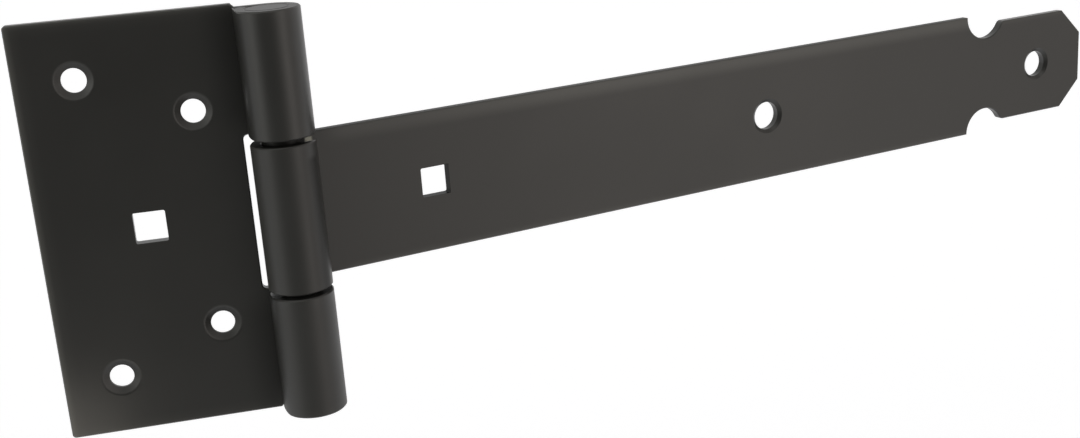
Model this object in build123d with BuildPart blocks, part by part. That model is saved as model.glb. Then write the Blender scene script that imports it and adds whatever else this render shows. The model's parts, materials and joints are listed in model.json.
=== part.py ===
# Tee hinge: a rolled plate leaf, a rolled strap leaf and the pin they turn on.
# Lengths are in millimetres and angles in degrees. The origin is the centre of the plate's
# square bolt hole on the mounting face. X runs along the plate towards the strap, Y points
# out of the mounting face into the post, and Z runs up along the pin.
from build123d import *
from math import asin, cos, degrees, radians, sin
import os

# Sheet, pin and eyes
SHEET = 3.0
PIN_DIAMETER = 11.0
PIN_CLEARANCE = 0.1
PIN_CHAMFER = 0.12
SEAM_GAP = 0.2
EDGE_CHAMFER = 0.35

# Plate leaf, with reaches measured from the pin's axis and margins from the plate's edges
PLATE_HEIGHT = 111.8
PLATE_REACH = 65.1
PLATE_CORNER = 1.0
EYE_SETBACK = 1.0
SHOULDER_CLEARANCE = 0.4
PLATE_SQUARE_REACH = 36.7
INNER_SCREW_REACH = 21.7
INNER_SCREW_MARGIN = 26.65
OUTER_SCREW_INSET = 15.1
OUTER_SCREW_MARGIN = 15.45
SCREW_HOLE = 6.4
SCREW_SINK = 10.0
SCREW_SINK_ANGLE = 115.0
SCREW_SINK_EDGE = 1.2
SCREW_BREAKOUT = 0.35
BREAKOUT_ANGLE = 32.0

# Strap leaf, with its length measured from the far side of the eye to the tip
STRAP_LENGTH = 300.0
STRAP_WIDTH = 40.0
STRAP_SQUARE_REACH = 43.8
BOLT_HOLE = 8.7
BOLT_SINK = 11.0
BOLT_SINK_ANGLE = 105.0
FAR_BOLT_INSET = 20.4
TIP_WIDTH = 34.0
TIP_CHAMFER = 8.6
NOTCH_RADIUS = 7.9
NOTCH_INSET = 43.6
NOTCH_LIP_RADIUS = 2.0

# Punched square for the neck of a coach bolt, the same in both leaves
SQUARE_HOLE = 8.4
SQUARE_CORNER = 0.5

# Height of the corner that is cut off the free end of each rolled eye
LOWER_EYE_CUT = 4.0
UPPER_EYE_CUT = 2.4
STRAP_EYE_CUT = 2.4

# Room for the strap's eye between the plate's eyes, and the strap's swing behind the plate's plane
GAP_ABOVE = 1.5
GAP_BELOW = 1.2
SLOT_CLEARANCE = 1.35
SLOT_CORNER = 1.2
SWING = 14.4

# Sizes that follow from the ones above
EYE_RADIUS = PIN_DIAMETER / 2 + PIN_CLEARANCE
BARREL_RADIUS = EYE_RADIUS + SHEET
SHEET_LINE = EYE_RADIUS + SHEET / 2
FREE_END = EYE_RADIUS - SEAM_GAP
ROLL_ANGLE = 270 + degrees(asin(FREE_END / BARREL_RADIUS))
SLOT_REACH = BARREL_RADIUS + SLOT_CLEARANCE
SHOULDER_REACH = BARREL_RADIUS + SHOULDER_CLEARANCE
SLOT_TOP = STRAP_WIDTH / 2 + GAP_ABOVE
SLOT_BOTTOM = -STRAP_WIDTH / 2 - GAP_BELOW
STRAP_REACH = STRAP_LENGTH - BARREL_RADIUS
FAR_BOLT_REACH = STRAP_REACH - FAR_BOLT_INSET
NEAR_BOLT_REACH = (STRAP_SQUARE_REACH + FAR_BOLT_REACH) / 2
NOTCH_REACH = STRAP_REACH - NOTCH_INSET
OUTER_SCREW_REACH = PLATE_REACH - OUTER_SCREW_INSET
INNER_SCREW_RISE = PLATE_HEIGHT / 2 - INNER_SCREW_MARGIN
OUTER_SCREW_RISE = PLATE_HEIGHT / 2 - OUTER_SCREW_MARGIN
SCREW_BACK_RADIUS = SCREW_HOLE / 2 + SCREW_BREAKOUT
EYE_TOP = PLATE_HEIGHT / 2 - EYE_SETBACK
SCREW_SPOTS = [
    (-OUTER_SCREW_REACH, OUTER_SCREW_RISE),
    (-OUTER_SCREW_REACH, -OUTER_SCREW_RISE),
    (-INNER_SCREW_REACH, INNER_SCREW_RISE),
    (-INNER_SCREW_REACH, -INNER_SCREW_RISE),
]

# Planes: a section across each leaf's eye and one along it, each leaf's front face seen from the
# front, and the plate's back seen from behind with its height upside down
PIN_AXIS = Vector(PLATE_SQUARE_REACH, -BARREL_RADIUS, 0)
ALONG_STRAP = Vector(cos(radians(SWING)), sin(radians(SWING)), 0)
BEHIND_STRAP = Vector(-sin(radians(SWING)), cos(radians(SWING)), 0)
PLATE_SECTION = Plane(PIN_AXIS, x_dir=(1, 0, 0), z_dir=(0, 0, 1))
PLATE_SIDE = Plane(PIN_AXIS, x_dir=(0, 1, 0), z_dir=(1, 0, 0))
PLATE_FRONT = Plane(PIN_AXIS + Vector(0, EYE_RADIUS, 0), x_dir=(1, 0, 0), z_dir=(0, -1, 0))
PLATE_BACK = Plane(PIN_AXIS + Vector(0, BARREL_RADIUS, 0), x_dir=(1, 0, 0), z_dir=(0, 1, 0))
STRAP_SECTION = Plane(PIN_AXIS, x_dir=ALONG_STRAP, z_dir=(0, 0, 1))
STRAP_SIDE = Plane(PIN_AXIS, x_dir=BEHIND_STRAP, z_dir=ALONG_STRAP)
STRAP_FRONT = Plane(PIN_AXIS + BEHIND_STRAP * EYE_RADIUS, x_dir=ALONG_STRAP, z_dir=-BEHIND_STRAP)

os.makedirs("parts", exist_ok=True)

# Plate leaf: one sheet, flat behind the barrel and rolled forward round the pin, with the
# eyes cut a little short at both ends of the barrel
with BuildPart() as plate_leaf:
    with BuildSketch(PLATE_SECTION):
        with BuildLine():
            Line((-PLATE_REACH, SHEET_LINE), (0, SHEET_LINE))
            CenterArc((0, 0), SHEET_LINE, 90, -ROLL_ANGLE)
        trace(line_width=SHEET)
    extrude(amount=PLATE_HEIGHT / 2, both=True)
    fillet(plate_leaf.edges().filter_by(Axis.Y).group_by(Axis.X)[0], PLATE_CORNER)
    with BuildSketch(PLATE_FRONT):
        with BuildLine():
            Polyline(
                (BARREL_RADIUS + SHEET, SLOT_TOP),
                (-SLOT_REACH, SLOT_TOP),
                (-SLOT_REACH, SLOT_BOTTOM),
                (BARREL_RADIUS + SHEET, SLOT_BOTTOM),
                close=True,
            )
        slot = make_face()
        fillet(slot.vertices().group_by(Axis.X)[0], SLOT_CORNER)
    extrude(amount=BARREL_RADIUS * 2, both=True, mode=Mode.SUBTRACT)
    with BuildSketch(PLATE_FRONT):
        with BuildLine():
            Polyline(
                (-SHOULDER_REACH, PLATE_HEIGHT / 2),
                (-SHOULDER_REACH + EYE_SETBACK, EYE_TOP),
                (BARREL_RADIUS + SHEET, EYE_TOP),
                (BARREL_RADIUS + SHEET, PLATE_HEIGHT / 2),
                close=True,
            )
        make_face()
        mirror(about=Plane.XZ)
    extrude(amount=BARREL_RADIUS * 2, both=True, mode=Mode.SUBTRACT)
    with BuildSketch(PLATE_SIDE):
        for bottom, cut in ((-EYE_TOP, LOWER_EYE_CUT), (SLOT_TOP, UPPER_EYE_CUT)):
            with BuildLine():
                Polyline(
                    (-EYE_RADIUS, bottom),
                    (FREE_END, bottom + cut),
                    (FREE_END, bottom - GAP_ABOVE),
                    (-EYE_RADIUS, bottom - GAP_ABOVE),
                    close=True,
                )
            make_face()
    extrude(amount=-BARREL_RADIUS * 2, mode=Mode.SUBTRACT)
    flats = plate_leaf.faces().filter_by(PLATE_FRONT).sort_by(SortBy.AREA)[-2:]
    free_end = plate_leaf.faces().sort_by(Axis.X)[0]
    outline_edges = flats.edges().filter_by(Axis.Z, reverse=True) + free_end.edges().filter_by(Axis.Z)
    chamfer(outline_edges, EDGE_CHAMFER)
    with BuildSketch(PLATE_FRONT):
        with Locations((-PLATE_SQUARE_REACH, 0)):
            RectangleRounded(SQUARE_HOLE, SQUARE_HOLE, SQUARE_CORNER)
    extrude(amount=-SHEET, mode=Mode.SUBTRACT)
    with Locations(PLATE_FRONT):
        with Locations(SCREW_SPOTS):
            CounterSinkHole(SCREW_HOLE / 2, SCREW_SINK / 2, SHEET, SCREW_SINK_ANGLE)
    rims = plate_leaf.edges().filter_by(GeomType.CIRCLE)
    rims = rims.filter_by(lambda rim: abs(rim.radius - SCREW_SINK / 2) < SHEET / 100)
    fillet(rims, SCREW_SINK_EDGE)
    with Locations(PLATE_BACK):
        with Locations(SCREW_SPOTS):
            CounterSinkHole(SCREW_HOLE / 2, SCREW_BACK_RADIUS, SHEET, BREAKOUT_ANGLE)
plate_leaf.part.label = "plate_leaf"
export_step(plate_leaf.part, "parts/plate_leaf.step")

# Strap leaf: one sheet rolled forward round the pin, cut to the strap's outline
with BuildPart() as strap_leaf:
    with BuildSketch(STRAP_SECTION):
        with BuildLine():
            Line((STRAP_REACH, SHEET_LINE), (0, SHEET_LINE))
            CenterArc((0, 0), SHEET_LINE, 90, ROLL_ANGLE)
        trace(line_width=SHEET)
    extrude(amount=STRAP_WIDTH / 2, both=True)
    with BuildSketch(STRAP_FRONT) as outline:
        with Locations((NOTCH_REACH, 0)):
            Rectangle(NOTCH_REACH + BARREL_RADIUS, STRAP_WIDTH, align=(Align.MAX, Align.CENTER))
            Rectangle(NOTCH_INSET, TIP_WIDTH, align=(Align.MIN, Align.CENTER))
        chamfer(outline.vertices().group_by(Axis.X)[-1], TIP_CHAMFER)
        with Locations((NOTCH_REACH, STRAP_WIDTH / 2), (NOTCH_REACH, -STRAP_WIDTH / 2)):
            Circle(NOTCH_RADIUS, mode=Mode.SUBTRACT)
        fillet(outline.vertices().group_by(Axis.X)[2], NOTCH_LIP_RADIUS)
    extrude(amount=BARREL_RADIUS * 2, both=True, mode=Mode.INTERSECT)
    with BuildSketch(STRAP_SIDE):
        with BuildLine():
            Polyline(
                (-EYE_RADIUS, STRAP_WIDTH / 2),
                (FREE_END, STRAP_WIDTH / 2 - STRAP_EYE_CUT),
                (FREE_END, STRAP_WIDTH / 2 + GAP_ABOVE),
                (-EYE_RADIUS, STRAP_WIDTH / 2 + GAP_ABOVE),
                close=True,
            )
        make_face()
    extrude(amount=BARREL_RADIUS * 2, mode=Mode.SUBTRACT)
    flats = strap_leaf.faces().filter_by(STRAP_FRONT).sort_by(SortBy.AREA)[-2:]
    tip_end = strap_leaf.faces().sort_by(Axis.X)[-1]
    outline_edges = flats.edges().filter_by(Axis.Z, reverse=True) + tip_end.edges().filter_by(Axis.Z)
    chamfer(outline_edges, EDGE_CHAMFER)
    with BuildSketch(STRAP_FRONT):
        with Locations((STRAP_SQUARE_REACH, 0)):
            RectangleRounded(SQUARE_HOLE, SQUARE_HOLE, SQUARE_CORNER)
    extrude(amount=-SHEET, mode=Mode.SUBTRACT)
    with Locations(STRAP_FRONT):
        with Locations((NEAR_BOLT_REACH, 0), (FAR_BOLT_REACH, 0)):
            CounterSinkHole(BOLT_HOLE / 2, BOLT_SINK / 2, SHEET, BOLT_SINK_ANGLE)
strap_leaf.part.label = "strap_leaf"
export_step(strap_leaf.part, "parts/strap_leaf.step")

# Pin: a plain bar with broken ends, as long as the barrel
with BuildPart() as hinge_pin:
    with BuildSketch(PLATE_SECTION):
        Circle(PIN_DIAMETER / 2)
    extrude(amount=EYE_TOP, both=True)
    chamfer(hinge_pin.edges().filter_by(GeomType.CIRCLE), PIN_CHAMFER)
hinge_pin.part.label = "hinge_pin"
export_step(hinge_pin.part, "parts/hinge_pin.step")
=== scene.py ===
# Looks of a tee hinge: a satin black coat on the plate, the strap and the pin, over a plain pale floor.
import json
from math import radians

import bmesh
import bpy
from bpy.props import FloatProperty, FloatVectorProperty, PointerProperty
from mathutils import Matrix, Vector

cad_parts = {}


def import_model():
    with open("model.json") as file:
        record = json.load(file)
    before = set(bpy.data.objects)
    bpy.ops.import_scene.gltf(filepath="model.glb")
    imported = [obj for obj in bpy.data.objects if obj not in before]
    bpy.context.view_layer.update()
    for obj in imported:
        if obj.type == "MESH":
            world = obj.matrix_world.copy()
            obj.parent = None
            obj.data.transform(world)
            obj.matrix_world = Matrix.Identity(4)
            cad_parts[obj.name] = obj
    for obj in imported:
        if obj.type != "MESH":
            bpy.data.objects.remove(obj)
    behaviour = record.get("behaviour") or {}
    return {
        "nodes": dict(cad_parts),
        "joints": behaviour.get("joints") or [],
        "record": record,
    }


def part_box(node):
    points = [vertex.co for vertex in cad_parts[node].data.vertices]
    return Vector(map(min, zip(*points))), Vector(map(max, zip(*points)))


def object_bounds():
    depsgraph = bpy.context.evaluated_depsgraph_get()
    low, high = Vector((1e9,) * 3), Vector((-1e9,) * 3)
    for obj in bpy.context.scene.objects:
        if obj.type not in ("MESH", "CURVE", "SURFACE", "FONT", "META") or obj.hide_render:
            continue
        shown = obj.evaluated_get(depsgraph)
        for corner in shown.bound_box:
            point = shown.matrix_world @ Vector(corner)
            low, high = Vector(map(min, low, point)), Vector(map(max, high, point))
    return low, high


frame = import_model()
CAD_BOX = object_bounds()

bl_info = {
    "name": "Tee hinge looks",
    "version": (1, 0, 0),
    "blender": (4, 5, 0),
    "location": "3D View > Sidebar > Tee hinge",
    "description": "Coats a tee hinge in satin black and sets it over a pale floor",
    "category": "Object",
}

MM = 0.001

# Places on the solids, in millimetres: the plate's mounting face is at Y 0, and the pin runs along Z
SHEET = 3.0
PLATE_FRONT = -SHEET
PLATE_LOW, PLATE_HIGH = (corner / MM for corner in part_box("plate_leaf"))
STRAP_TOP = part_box("strap_leaf")[1].z / MM
PIN_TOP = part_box("hinge_pin")[1].z / MM
PIN_AXIS = Vector(frame["joints"][0]["pos_m"]) / MM
EYE_RADIUS = PIN_AXIS.y - PLATE_LOW.y
EYE_LEFT = PIN_AXIS.x - EYE_RADIUS
EYE_RIGHT = PIN_AXIS.x + EYE_RADIUS

# The lower one of the two screw holes nearest the eyes, in millimetres
MOUNTS = {mount["name"]: mount for mount in frame["record"]["mounts"]}
LOW_SCREW_X = MOUNTS["plate_inner_screws"]["pos_m"][0] / MM
LOW_SCREW_Z = -MOUNTS["plate_inner_screws"]["dims"]["spacing_y_mm"] / 2

# The strap's square hole, in millimetres: its side walls lean with the strap
SQUARE_HALF = 4.2
SQUARE_AXIS = Vector(MOUNTS["strap_bolt_square"]["axis"])
SQUARE_REACH = SQUARE_HALF * abs(SQUARE_AXIS.y)
SQUARE_BACK = MOUNTS["strap_bolt_square"]["pos_m"][0] / MM
SQUARE_FRONT = SQUARE_BACK + SQUARE_AXIS.x * SHEET

# Widths over which the coat changes, and the margin that it keeps from an edge, in millimetres
CRISP = 0.04
SHARP = 0.5
SOFT = 1.0
MARGIN = 2.0

# Lighter bands along the plate's edges, partly thin coat and partly painted highlight for the sheen of the
# rolled-over edges: a wide band and a narrow one, each a share and a width in millimetres
FREE_EDGE = ((0.18, 5.0), (0.66, 2.1))
TOP_EDGE = ((0.12, 4.0), (0.35, 1.6))
BOTTOM_EDGE = ((0.12, 4.0), (0.20, 1.6))

# Lighter bands along the strap's edges, partly thin coat and partly painted highlight, and a painted
# reflection on the left flank of its eye: shares, and widths in millimetres
STRAP_TOP_THIN_AND_SHEEN = 0.4
STRAP_TOP_WIDTH = 5.0
STRAP_TOP_FADE = 3.8
STRAP_LOW_THIN_AND_SHEEN = 0.36
STRAP_LOW_WIDTH = 2.2
STRAP_NEAR_FADE = 8.0
STRAP_FAR_START = 15.0
STRAP_FAR_FADE = 60.0
FLANK_PAINTED_REFLECTION = 0.3
FLANK_WIDTH = 3.4
FLANK_FADE = 2.9

# Painted shade in seams, gaps, countersinks, hole walls and on the eyes' ends, where shade falls: shares,
# and widths in millimetres
PLATE_SEAM_SHADE = 0.3
PLATE_SEAM_WIDTH = 10.0
SINK_SHADE = 0.12
SINK_FADE = 0.4
LOW_SINK_SHADE = 0.2
LOW_SINK_HALF = 8.0
EYE_END_SHADE = 0.36
STRAP_EYE_SHADE = 0.05
STRAP_EYE_TOP_SHADE = 0.75
STRAP_EDGE_SHADE = 0.55
STRAP_SEAM_SHADE = 0.45
STRAP_SEAM_WIDTH = 3.7
STRAP_SEAM_INSET = 0.3
STRAP_SEAM_DROP = 3.0
SQUARE_LOW_SHADE = 0.6
SQUARE_SIDE_SHADE = 0.78
PIN_SHADE = 0.5
PIN_END_WIDTH = 0.3

# Dull coat: what each eye adds to the roughness, and the height over which it sets in, in millimetres
UPPER_EYE_DULL = 0.03
LOWER_EYE_DULL = 0.13
STRAP_EYE_DULL = 0.06
EYE_DULL_FADE = 8.0

# A painted glint by the top of the strap's eye, a light spot standing in for a reflection in the crease, in
# millimetres
FLECK_INSET = 1.7
FLECK_DROP = 1.95
FLECK_HALF_WIDTH = 1.3
FLECK_HALF_HEIGHT = 1.05
FLECK_FADE = 0.8

# The coat's gloss: its index of refraction, and how far the clouds and the grain change the roughness
COAT_IOR = 1.56
CLOUD_ROUGHNESS = 0.12
GRAIN_ROUGHNESS = 0.1
NOISE_MEAN = 0.5

# The light tent's ring round the dark opening, in half angles of the opening from its middle
RING_RISE = (0.75, 1.8)
RING_FALL = (1.85, 2.25)

# Tilts over the horizon between which parts of the light set in
LOW_GLOW_TILTS = (radians(-8), radians(-35))
RING_TILTS = (radians(-35), radians(10))
OVERHEAD_TILTS = (radians(28), radians(50))
PANEL_TILTS = (radians(16), radians(2))
LEFT_TILTS = (radians(-20), radians(12))

# Level of the ring at its foot, as a share of the ring level, and what it gains on the way up
RING_FOOT = 0.53
RING_GAIN = 0.62

# Lengths along a direction between which the front, the sides, the warm right and the backdrop set in
FRONT_REACH = (-0.1, -0.4)
SIDE_REACH = (0.9, 1.0)
WARM_REACH = (-0.1, 0.7)
BACKDROP_REACH = (0.5, 0.8)

CAMERA_CLIP = 10 * MM


class CoatProperties(bpy.types.PropertyGroup):
    """Sizes and colours of the coat on the leaves and the pin."""

    colour: FloatVectorProperty(
        name="Colour", description="Colour of the coat where it is thickest",
        subtype="COLOR", size=3, min=0, max=1, default=(0.0149, 0.0149, 0.0139),
    )
    worn_colour: FloatVectorProperty(
        name="Thin colour", description="Colour of the coat where it lies thin",
        subtype="COLOR", size=3, min=0, max=1, default=(0.0184, 0.0183, 0.0171),
    )
    # Lighter colour along the edges: partly thin coat at sheared edges, partly painted highlight and
    # reflection on rounded edges and the eye's flank
    edge_thin_and_sheen_colour: FloatVectorProperty(
        name="Edge and sheen colour", description="Colour of the thin coat and painted highlight along the edges",
        subtype="COLOR", size=3, min=0, max=1, default=(0.084, 0.083, 0.078),
    )
    # Painted shade: a near black matt colour laid in seams, gaps, countersinks and punched holes, where
    # shade falls
    painted_shade_colour: FloatVectorProperty(
        name="Painted shade colour", description="Colour of the painted shade in seams, gaps and punched holes",
        subtype="COLOR", size=3, min=0, max=1, default=(0.012, 0.012, 0.011),
    )
    # Painted glint: a light spot that stands in for a reflection in the crease by the strap's eye
    painted_glint_colour: FloatVectorProperty(
        name="Glint colour", description="Colour of the painted glint by the strap's eye",
        subtype="COLOR", size=3, min=0, max=1, default=(0.3, 0.3, 0.25),
    )
    roughness: FloatProperty(
        name="Roughness", description="Mean roughness of the coat",
        subtype="FACTOR", min=0, max=1, default=0.35,
    )
    cloud_size: FloatProperty(
        name="Cloud size", description="Width of the cloudy patches in the coat",
        unit="LENGTH", min=MM, default=28 * MM,
    )
    peel_size: FloatProperty(
        name="Peel size", description="Width of the coat's orange peel",
        unit="LENGTH", min=0.01 * MM, default=1.5 * MM,
    )
    peel_depth: FloatProperty(
        name="Peel depth", description="Depth of the coat's orange peel",
        unit="LENGTH", min=0, default=0.006 * MM,
    )
    grain_size: FloatProperty(
        name="Grain size", description="Width of the fine grain of the cured coat",
        unit="LENGTH", min=0.01 * MM, default=0.4 * MM,
    )
    grain_depth: FloatProperty(
        name="Grain depth", description="Depth of the fine grain of the cured coat",
        unit="LENGTH", min=0, default=0.0015 * MM,
    )


class StageProperties(bpy.types.PropertyGroup):
    """Floor, light and camera."""

    floor_drop: FloatProperty(
        name="Floor drop", description="Height of the hinge's lowest point over the floor",
        unit="LENGTH", min=0, default=0.2,
    )
    floor_reach: FloatProperty(
        name="Floor reach", description="Distance from the hinge to the floor's back and side edges",
        unit="LENGTH", min=0, default=6.0,
    )
    floor_front: FloatProperty(
        name="Floor front", description="Distance from the hinge to the floor's front edge",
        unit="LENGTH", min=0, default=0.12,
    )
    floor_colour: FloatVectorProperty(
        name="Floor colour", description="Colour of the floor",
        subtype="COLOR", size=3, min=0, max=1, default=(0.8, 0.815, 0.865),
    )
    floor_fill: FloatProperty(
        name="Floor fill", description="Light that the floor adds where the camera or a reflection sees it",
        subtype="FACTOR", min=0, max=1, default=0.44,
    )
    light_colour: FloatVectorProperty(
        name="Light colour", description="Colour of the soft light from the left",
        subtype="COLOR", size=3, min=0, max=1, default=(1.0, 0.995, 0.945),
    )
    warm_colour: FloatVectorProperty(
        name="Warm colour", description="Colour of the soft light from the right",
        subtype="COLOR", size=3, min=0, max=1, default=(1.0, 0.94, 0.885),
    )
    opening_turn: FloatProperty(
        name="Opening turn", description="Turn of the dark opening in front, from straight ahead",
        unit="ROTATION", default=radians(-10),
    )
    opening_tilt: FloatProperty(
        name="Opening tilt", description="Height of the dark opening's middle over the horizon",
        unit="ROTATION", default=radians(-5),
    )
    opening_width: FloatProperty(
        name="Opening width", description="Half the angle across the dark opening",
        unit="ROTATION", min=0, default=radians(31),
    )
    opening_height: FloatProperty(
        name="Opening height", description="Half the angle up the dark opening",
        unit="ROTATION", min=0, default=radians(36),
    )
    opening_level: FloatProperty(
        name="Opening level", description="Light that comes from the dark opening",
        subtype="FACTOR", min=0, max=1, default=0.12,
    )
    low_glow: FloatProperty(
        name="Low glow", description="Light that the dark opening gains towards the floor",
        subtype="FACTOR", min=0, max=1, default=0.45,
    )
    ring_level: FloatProperty(
        name="Ring level", description="Light that comes from the tent round the dark opening",
        min=0, default=1.24,
    )
    tent_level: FloatProperty(
        name="Tent level", description="Light that comes from the back of the tent",
        min=0, default=0.62,
    )
    side_level: FloatProperty(
        name="Side level", description="Light that the tent's left and right sides add to its back",
        min=0, default=0.14,
    )
    overhead_loss: FloatProperty(
        name="Overhead loss", description="Share of the light that the tent lacks overhead in front",
        subtype="FACTOR", min=0, max=1, default=0.25,
    )
    panel_level: FloatProperty(
        name="Panel level", description="Light that a soft upright panel on the right adds to the tent",
        min=0, default=0.84,
    )
    panel_turn: FloatProperty(
        name="Panel turn", description="Turn of the right panel's middle, from straight ahead",
        unit="ROTATION", default=radians(48),
    )
    left_level: FloatProperty(
        name="Left level", description="Light that a soft upright panel on the left adds to the tent",
        min=0, default=0.95,
    )
    left_turn: FloatProperty(
        name="Left turn", description="Turn of the left panel's middle, from straight ahead",
        unit="ROTATION", default=radians(-67),
    )
    panel_width: FloatProperty(
        name="Panel width", description="Angle from a panel's middle to where it has faded out",
        unit="ROTATION", min=0, default=radians(13),
    )
    lamp_colour: FloatVectorProperty(
        name="Lamp colour", description="Colour of the small soft lamp low on the left",
        subtype="COLOR", size=3, min=0, max=1, default=(1.0, 0.93, 0.82),
    )
    lamp_power: FloatProperty(
        name="Lamp power", description="Power of the small soft lamp low on the left",
        unit="POWER", min=0, default=0.00062,
    )
    lamp_size: FloatProperty(
        name="Lamp size", description="Width of the small soft lamp",
        unit="LENGTH", min=MM, default=30 * MM,
    )
    lamp_spread: FloatProperty(
        name="Lamp spread", description="Angle over which the small soft lamp shines",
        unit="ROTATION", min=0, default=radians(70),
    )
    lamp_distance: FloatProperty(
        name="Lamp distance", description="Distance from the small lamp to the plate's low corner",
        unit="LENGTH", min=MM, default=60 * MM,
    )
    camera_place: FloatVectorProperty(
        name="Camera place", description="Where the camera stands",
        subtype="TRANSLATION", unit="LENGTH", size=3, default=(0.025467, -0.382849, 0.100970),
    )
    camera_turn: FloatVectorProperty(
        name="Camera turn", description="Which way the camera points",
        subtype="EULER", unit="ROTATION", size=3,
        default=(radians(73.73046), radians(4.11142), radians(-12.94681)),
    )
    camera_lens: FloatProperty(
        name="Camera lens", description="Focal length, in millimetres on a 36 mm frame",
        min=1, default=48.2159,
    )


class Wire:
    """One value in a node tree, on which arithmetic adds Math nodes."""

    def __init__(self, sheet, socket):
        self.sheet = sheet
        self.socket = socket

    def __add__(self, other):
        return self.sheet.math("ADD", self, other)

    def __radd__(self, other):
        return self.sheet.math("ADD", other, self)

    def __sub__(self, other):
        return self.sheet.math("SUBTRACT", self, other)

    def __rsub__(self, other):
        return self.sheet.math("SUBTRACT", other, self)

    def __mul__(self, other):
        return self.sheet.math("MULTIPLY", self, other)

    def __rmul__(self, other):
        return self.sheet.math("MULTIPLY", other, self)

    def __truediv__(self, other):
        return self.sheet.math("DIVIDE", self, other)

    def __rtruediv__(self, other):
        return self.sheet.math("DIVIDE", other, self)

    def __pow__(self, other):
        return self.sheet.math("POWER", self, other)

    def __rpow__(self, other):
        return self.sheet.math("POWER", other, self)

    def __abs__(self):
        return self.sheet.math("ABSOLUTE", self)


class NodeSheet:
    """A node tree that is written node by node."""

    def __init__(self, tree):
        self.tree = tree
        tree.nodes.clear()

    def node(self, kind, settings=None, inputs=None, output=0):
        """Adds a node, sets it, feeds its sockets with values or wires, and returns one output."""
        made = self.tree.nodes.new(kind)
        for name, value in (settings or {}).items():
            setattr(made, name, value)
        for key, value in (inputs or {}).items():
            if isinstance(value, Wire):
                self.tree.links.new(value.socket, made.inputs[key])
            else:
                made.inputs[key].default_value = value
        return Wire(self, made.outputs[output]) if made.outputs else None

    def math(self, operation, *values):
        """The outcome of a Math node."""
        return self.node("ShaderNodeMath", {"operation": operation}, dict(enumerate(values)))

    def noise(self, place, size, detail):
        """A noise about half, whose features are about as wide as size."""
        inputs = {"Vector": place, "Scale": 1 / size, "Detail": detail}
        return self.node("ShaderNodeTexNoise", {}, inputs, "Fac")

    def ramp(self, value, start, end, shape="LINEAR"):
        """A climb from 0 at start to 1 at end."""
        inputs = {"Value": value, "From Min": start, "From Max": end}
        return self.node("ShaderNodeMapRange", {"interpolation_type": shape}, inputs)

    def smooth_step(self, value, start, end):
        """A smooth climb from 0 at start to 1 at end."""
        return self.ramp(value, start, end, "SMOOTHSTEP")

    def along(self, vector, axis):
        """A vector's length along one axis."""
        return self.node("ShaderNodeSeparateXYZ", {}, {"Vector": vector}, axis)

    def mask(self, place, share, *steps):
        """A share that is kept only where each step has climbed. Steps are in millimetres."""
        for axis, start, end in steps:
            share = self.smooth_step(self.along(place, axis), start * MM, end * MM) * share
        return share

    def mix_colour(self, factor, first, second):
        """The first colour where the factor is 0, the second where it is 1."""
        inputs = {0: factor, 6: first if isinstance(first, Wire) else (*first, 1), 7: (*second, 1)}
        return self.node("ShaderNodeMix", {"data_type": "RGBA"}, inputs, 2)

    def rays(self):
        """Whether a ray comes from the camera, from a reflection or through glass, each 0 or 1."""
        kinds = ("Is Camera Ray", "Is Glossy Ray", "Is Transmission Ray")
        return [self.node("ShaderNodeLightPath", output=kind) for kind in kinds]


def blank_sheet(store, name):
    """A new material or world, with an empty node tree to write on."""
    made = store.new(name)
    made.use_nodes = True
    return made, NodeSheet(made.node_tree)


def after(axis, start, fade):
    """A step that is empty up to its start on an axis, and full a fade beyond it."""
    return axis, start, start + fade


def before(axis, end, fade):
    """A step that is empty beyond its end on an axis, and full a fade short of it."""
    return axis, end, end - fade


def outward(axis, side, start, fade):
    """A step that climbs up the axis from its start, or down it from the same distance where side is -1."""
    return axis, side * start, side * (start + fade)


def within(axis, middle, half, fade):
    """The two steps that keep what lies within half a width of the middle."""
    return after(axis, middle - half, fade), before(axis, middle + half, fade)


def on_face(axis, place):
    """The two steps that keep only a flat face across an axis."""
    return within(axis, place, 2 * CRISP, CRISP)


def thin_and_sheen_edge(axis, edge, inward, bands):
    """Thin coat and painted highlight in bands that lie inward from an edge, up the axis or, where inward is
    -1, down it.
    """
    return [(share, (axis, edge + inward * width, edge)) for share, width in bands]


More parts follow.
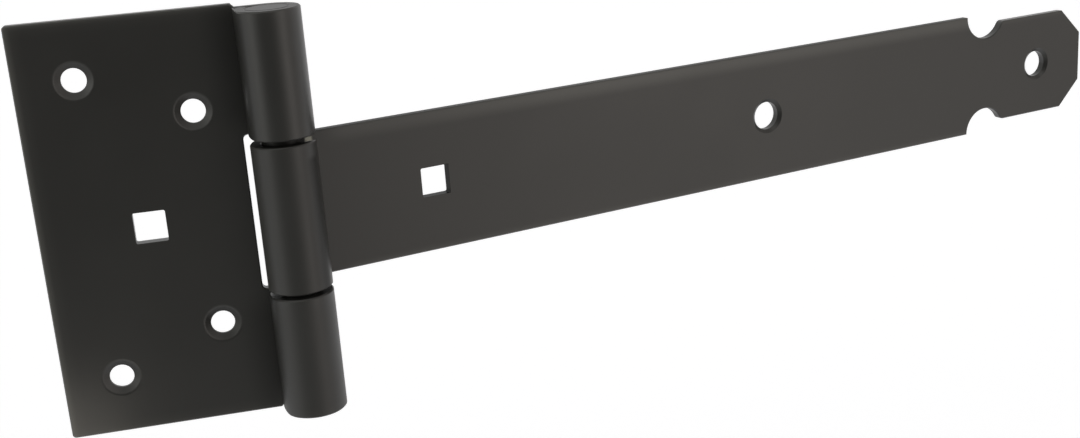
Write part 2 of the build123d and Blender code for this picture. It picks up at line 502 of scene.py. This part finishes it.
def coat_material(name, coat, edges, recesses, glints, dull):
    """Satin black coat with cloudy patches, a soft orange peel and a fine grain.

    Its edges get lighter bands, partly thin coat and partly painted highlight; painted shade darkens the
    recesses, painted glints light small spots, and it is rougher where it is dull.
    Each of these is a list of patches, and a patch is a share and the steps of its mask.
    """
    material, sheet = blank_sheet(bpy.data.materials, name)
    place = sheet.node("ShaderNodeTexCoord", output="Object")
    cloud = sheet.noise(place, coat.cloud_size, detail=3.0)
    peel = sheet.noise(place, coat.peel_size, detail=1.0)
    grain = sheet.noise(place, coat.grain_size, detail=2.0)
    colour = sheet.mix_colour(cloud, coat.colour, coat.worn_colour)
    # Lighter edge bands of thin coat and painted highlight, then the painted glints
    for patches, patch_colour in ((edges, coat.edge_thin_and_sheen_colour), (glints, coat.painted_glint_colour)):
        for patch in patches:
            colour = sheet.mix_colour(sheet.mask(place, *patch), colour, patch_colour)
    uneven = (cloud - NOISE_MEAN) * CLOUD_ROUGHNESS + (grain - NOISE_MEAN) * GRAIN_ROUGHNESS
    roughness = coat.roughness + uneven
    for patch in dull:
        roughness = roughness + sheet.mask(place, *patch)
    height = peel * coat.peel_depth + grain * coat.grain_depth
    bump = sheet.node("ShaderNodeBump", {}, {"Strength": 1.0, "Distance": 1.0, "Height": height})
    surface = sheet.node(
        "ShaderNodeBsdfPrincipled",
        {},
        {"Base Color": colour, "Roughness": roughness, "IOR": COAT_IOR, "Normal": bump},
    )
    # Painted shade: a dark matt surface mixed in where shade falls in the recesses
    for patch in recesses:
        painted_shade_bsdf = sheet.node("ShaderNodeBsdfDiffuse", {}, {"Color": (*coat.painted_shade_colour, 1)})
        surface = sheet.node("ShaderNodeMixShader", {}, {0: sheet.mask(place, *patch), 1: surface, 2: painted_shade_bsdf})
    sheet.node("ShaderNodeOutputMaterial", {}, {"Surface": surface})
    return material


def coat_node(node, coat, edges=(), recesses=(), glints=(), dull=()):
    """Gives every slot of a solid the coat, under the solid's own name."""
    material = coat_material(f"{node}_coat", coat, edges, recesses, glints, dull)
    for slot in frame["nodes"][node].material_slots:
        slot.material = material


class CoatPlate(bpy.types.Operator):
    """Coat the plate leaf"""

    bl_idname = "tee_hinge.coat_plate"
    bl_label = "Coat the plate leaf"

    def execute(self, context):
        # Lighter bands along the free, top and bottom edges: thin coat and painted highlight
        edges = [
            *thin_and_sheen_edge("X", PLATE_LOW.x, 1, FREE_EDGE),
            *thin_and_sheen_edge("Z", PLATE_HIGH.z, -1, TOP_EDGE),
            *thin_and_sheen_edge("Z", PLATE_LOW.z, 1, BOTTOM_EDGE),
        ]
        seam = (
            after("X", EYE_LEFT - PLATE_SEAM_WIDTH, PLATE_SEAM_WIDTH - SOFT),
            before("X", EYE_LEFT + SHARP, SHARP),
        )
        sunk = (after("Y", PLATE_FRONT, SINK_FADE), before("Y", -CRISP, CRISP))
        flat = (
            after("X", PLATE_LOW.x + MARGIN, SOFT),
            before("X", EYE_LEFT - MARGIN, SOFT),
            before("Z", PLATE_HIGH.z - MARGIN, SOFT),
        )
        low_screw = (
            *within("X", LOW_SCREW_X, LOW_SINK_HALF, SOFT),
            *within("Z", LOW_SCREW_Z, LOW_SINK_HALF, SOFT),
        )
        # Painted shade beside the eyes, on the top of the upper eye and in the screw countersinks
        recesses = [
            (PLATE_SEAM_SHADE, *seam, outward("Z", 1, STRAP_TOP, PLATE_SEAM_WIDTH)),
            (PLATE_SEAM_SHADE, *seam, outward("Z", -1, STRAP_TOP, PLATE_SEAM_WIDTH)),
            (EYE_END_SHADE, after("Z", PIN_TOP - 2 * CRISP, CRISP), after("X", EYE_LEFT - 2 * CRISP, SHARP)),
            (SINK_SHADE, *sunk, *flat),
            (LOW_SINK_SHADE, *sunk, *low_screw),
        ]
        eyes = after("X", EYE_LEFT - SOFT, 2 * SOFT)
        dull = [
            (UPPER_EYE_DULL, outward("Z", 1, STRAP_TOP - MARGIN, EYE_DULL_FADE), eyes),
            (LOWER_EYE_DULL, outward("Z", -1, STRAP_TOP - MARGIN, EYE_DULL_FADE), eyes),
        ]
        coat_node("plate_leaf", context.scene.tee_hinge_coat, edges, recesses, dull=dull)
        return {"FINISHED"}


class CoatStrap(bpy.types.Operator):
    """Coat the strap leaf"""

    bl_idname = "tee_hinge.coat_strap"
    bl_label = "Coat the strap leaf"

    def execute(self, context):
        eye = before("X", EYE_RIGHT + SOFT, SOFT)
        beside_eye = after("X", EYE_RIGHT, SOFT)
        near = after("X", EYE_RIGHT + SOFT, STRAP_NEAR_FADE)
        far = after("X", EYE_RIGHT + STRAP_FAR_START, STRAP_FAR_FADE)
        top = after("Z", STRAP_TOP - STRAP_TOP_WIDTH, STRAP_TOP_FADE)
        # Lighter bands along the strap's top and low edges, thin coat and painted highlight, and a painted
        # reflection on the left flank of its eye
        edges = [
            (STRAP_TOP_THIN_AND_SHEEN, top, near),
            (STRAP_TOP_THIN_AND_SHEEN, top, far),
            (STRAP_LOW_THIN_AND_SHEEN, outward("Z", -1, STRAP_TOP - STRAP_LOW_WIDTH, STRAP_LOW_WIDTH), near),
            (FLANK_PAINTED_REFLECTION, before("X", EYE_LEFT + FLANK_WIDTH, FLANK_FADE)),
        ]
        seam = (
            after("X", EYE_RIGHT - STRAP_SEAM_WIDTH, 2 * SOFT),
            before("X", EYE_RIGHT - STRAP_SEAM_INSET, SOFT),
            before("Z", STRAP_TOP - STRAP_SEAM_DROP, 2 * SOFT),
        )
        low_wall = (
            after("X", SQUARE_FRONT - SQUARE_REACH, CRISP),
            before("X", SQUARE_BACK + SQUARE_REACH, CRISP),
            *on_face("Z", -SQUARE_HALF),
        )
        side_wall = (
            after("X", SQUARE_BACK + SQUARE_REACH - SHARP, SHARP),
            before("X", SQUARE_FRONT + SQUARE_REACH + 2 * CRISP, CRISP),
            *within("Z", 0, SQUARE_HALF + 2 * CRISP, CRISP),
        )
        # Painted shade in the seam beside the eye, over the eye, on its top face in the gap, on the top edge
        # beside it and on the square hole's walls
        recesses = [
            (STRAP_SEAM_SHADE, *seam),
            (STRAP_EYE_SHADE, eye),
            (STRAP_EYE_TOP_SHADE, *on_face("Z", STRAP_TOP), eye),
            (STRAP_EDGE_SHADE, *on_face("Z", STRAP_TOP), beside_eye),
            (SQUARE_LOW_SHADE, *low_wall),
            (SQUARE_SIDE_SHADE, *side_wall),
        ]
        # A painted glint in the crease by the top of the strap's eye
        glint = (
            *within("X", EYE_RIGHT - FLECK_INSET, FLECK_HALF_WIDTH, FLECK_FADE),
            *within("Z", STRAP_TOP - FLECK_DROP, FLECK_HALF_HEIGHT, FLECK_FADE),
            after("Y", PLATE_FRONT, SOFT),
        )
        glints = [(1.0, *glint)]
        dull = [(STRAP_EYE_DULL, eye)]
        coat_node("strap_leaf", context.scene.tee_hinge_coat, edges, recesses, glints, dull)
        return {"FINISHED"}


class CoatPin(bpy.types.Operator):
    """Coat the pin"""

    bl_idname = "tee_hinge.coat_pin"
    bl_label = "Coat the pin"

    def execute(self, context):
        # Painted shade on the pin inside the eyes and on its top end
        recesses = [
            (PIN_SHADE, *within("Z", 0, STRAP_TOP + MARGIN, SHARP)),
            (EYE_END_SHADE, after("Z", PIN_TOP - PIN_END_WIDTH, 2 * CRISP)),
        ]
        coat_node("hinge_pin", context.scene.tee_hinge_coat, recesses=recesses)
        return {"FINISHED"}


def floor_material(stage):
    """Pale matt floor that shows white to the camera and in reflections, and keeps the shadow."""
    material, sheet = blank_sheet(bpy.data.materials, "pale_floor")
    camera, glossy, through = sheet.rays()
    fill = (camera + glossy + through) * stage.floor_fill
    glow = sheet.node("ShaderNodeCombineColor", {}, {"Red": fill, "Green": fill, "Blue": fill})
    surface = sheet.node(
        "ShaderNodeBsdfPrincipled",
        {},
        {
            "Base Color": (*stage.floor_colour, 1),
            "Roughness": 1.0,
            "Specular IOR Level": 0.0,
            "Emission Color": glow,
            "Emission Strength": 1.0,
        },
    )
    sheet.node("ShaderNodeOutputMaterial", {}, {"Surface": surface})
    return material


def new_object(name, data):
    """An object in the scene that holds the data."""
    made = bpy.data.objects.new(name, data)
    bpy.context.scene.collection.objects.link(made)
    return made


def lay_floor(stage):
    """A level floor under the hinge, wide behind it and short in front."""
    low = CAD_BOX[0]
    reach = stage.floor_reach
    middle = Vector((0, (reach - stage.floor_front) / 2, low.z - stage.floor_drop))
    size = Vector((reach, (reach + stage.floor_front) / 2, 1))
    mesh = bpy.data.meshes.new("floor")
    shape = bmesh.new()
    bmesh.ops.create_grid(
        shape, x_segments=1, y_segments=1, size=1.0,
        matrix=Matrix.Translation(middle) @ Matrix.Diagonal(size).to_4x4(),
    )
    shape.to_mesh(mesh)
    shape.free()
    mesh.materials.append(floor_material(stage))
    floor = new_object("floor", mesh)


def light_tent(stage):
    """Soft light from all round, with a dark opening in front, where the camera stands.

    A bright ring lies round the opening, with a soft upright panel in it on the right and on the left, and
    a plain back beyond. The camera sees a white backdrop all round, and reflections see it behind the hinge.
    """
    world, sheet = blank_sheet(bpy.data.worlds, "light_tent")
    direction = sheet.node("ShaderNodeTexCoord", output="Generated")
    x, y, z = (sheet.along(direction, axis) for axis in "XYZ")
    turn = sheet.math("ARCTAN2", x, 0 - y)
    tilt = sheet.math("ARCSINE", z)

    # The opening, the ring and the back, by the distance from the opening's middle
    across = (turn - stage.opening_turn) / stage.opening_width
    up = (tilt - stage.opening_tilt) / stage.opening_height
    from_middle = (across * across + up * up) ** 0.5
    opening = stage.opening_level + sheet.smooth_step(tilt, *LOW_GLOW_TILTS) * stage.low_glow
    height = RING_FOOT + RING_GAIN * sheet.ramp(tilt, *RING_TILTS)
    ring = stage.ring_level * height
    back = stage.tent_level + sheet.smooth_step(abs(x), *SIDE_REACH) * stage.side_level
    sides = ring + sheet.smooth_step(from_middle, *RING_FALL) * (back - ring)
    overhead = sheet.smooth_step(tilt, *OVERHEAD_TILTS) * sheet.smooth_step(y, *FRONT_REACH)
    tent = opening + sheet.smooth_step(from_middle, *RING_RISE) * (sides - opening)
    tent = tent * (1 - overhead * stage.overhead_loss)

    # The panels, which fade out to both sides and along their tilts
    panels = (
        (stage.panel_turn, PANEL_TILTS, height * stage.panel_level),
        (stage.left_turn, LEFT_TILTS, stage.left_level),
    )
    light = tent
    for middle, tilts, level in panels:
        beside = sheet.smooth_step(abs(turn - middle), stage.panel_width, 0)
        light = light + beside * sheet.smooth_step(tilt, *tilts) * level

    warmth = sheet.smooth_step(x, *WARM_REACH)
    colour = sheet.mix_colour(warmth, stage.light_colour, stage.warm_colour)
    around = sheet.node("ShaderNodeBackground", {}, {"Color": colour, "Strength": light})
    backdrop = sheet.node("ShaderNodeBackground", {}, {"Color": (1, 1, 1, 1), "Strength": 1.0})
    camera, glossy, through = sheet.rays()
    seen = camera + (glossy + through) * sheet.smooth_step(y, *BACKDROP_REACH)
    sky = sheet.node("ShaderNodeMixShader", {}, {0: seen, 1: around, 2: backdrop})
    sheet.node("ShaderNodeOutputWorld", {}, {"Surface": sky})
    bpy.context.scene.world = world


def hang_lamp(stage):
    """A small soft lamp that the plate's low free corner shows the camera."""
    corner = Vector((CAD_BOX[0].x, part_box("plate_leaf")[1].y, CAD_BOX[0].z))
    sight = (corner - Vector(stage.camera_place)).normalized()
    way = sight.reflect(Vector((0, 1, 0)))
    light = bpy.data.lights.new("low_lamp", "AREA")
    light.shape = "DISK"
    light.size = stage.lamp_size
    light.color = stage.lamp_colour
    light.energy = stage.lamp_power
    light.spread = stage.lamp_spread
    lamp = new_object("low_lamp", light)
    lamp.location = corner + way * stage.lamp_distance
    lamp.rotation_euler = way.to_track_quat("Z", "Y").to_euler()


def stand_camera(stage):
    """The camera at the photograph's viewpoint."""
    lens = bpy.data.cameras.new("camera")
    lens.lens = stage.camera_lens
    lens.clip_start = CAMERA_CLIP
    camera = new_object("camera", lens)
    camera.location = stage.camera_place
    camera.rotation_euler = stage.camera_turn
    bpy.context.scene.camera = camera


class SetStage(bpy.types.Operator):
    """Lay the floor, light the hinge and stand the camera"""

    bl_idname = "tee_hinge.set_stage"
    bl_label = "Set the stage"

    def execute(self, context):
        stage = context.scene.tee_hinge_stage
        lay_floor(stage)
        light_tent(stage)
        hang_lamp(stage)
        stand_camera(stage)
        context.scene.view_settings.view_transform = "Standard"
        return {"FINISHED"}


class LooksPanel(bpy.types.Panel):
    """The tee hinge's looks, in the sidebar"""

    bl_idname = "TEE_HINGE_PT_looks"
    bl_label = "Tee hinge"
    bl_space_type = "VIEW_3D"
    bl_region_type = "UI"
    bl_category = "Tee hinge"

    def draw(self, context):
        for operator in OPERATORS:
            self.layout.operator(operator.bl_idname)
        for group in (context.scene.tee_hinge_coat, context.scene.tee_hinge_stage):
            for name in group.__annotations__:
                self.layout.prop(group, name)


OPERATORS = (CoatPlate, CoatStrap, CoatPin, SetStage)
CLASSES = (CoatProperties, StageProperties, *OPERATORS, LooksPanel)


def register():
    for cls in CLASSES:
        bpy.utils.register_class(cls)
    bpy.types.Scene.tee_hinge_coat = PointerProperty(type=CoatProperties)
    bpy.types.Scene.tee_hinge_stage = PointerProperty(type=StageProperties)


def unregister():
    del bpy.types.Scene.tee_hinge_stage
    del bpy.types.Scene.tee_hinge_coat
    for cls in reversed(CLASSES):
        bpy.utils.unregister_class(cls)


def main():
    register()
    bpy.ops.tee_hinge.coat_plate()
    bpy.ops.tee_hinge.coat_strap()
    bpy.ops.tee_hinge.coat_pin()
    bpy.ops.tee_hinge.set_stage()


if __name__ == "__main__":
    main()
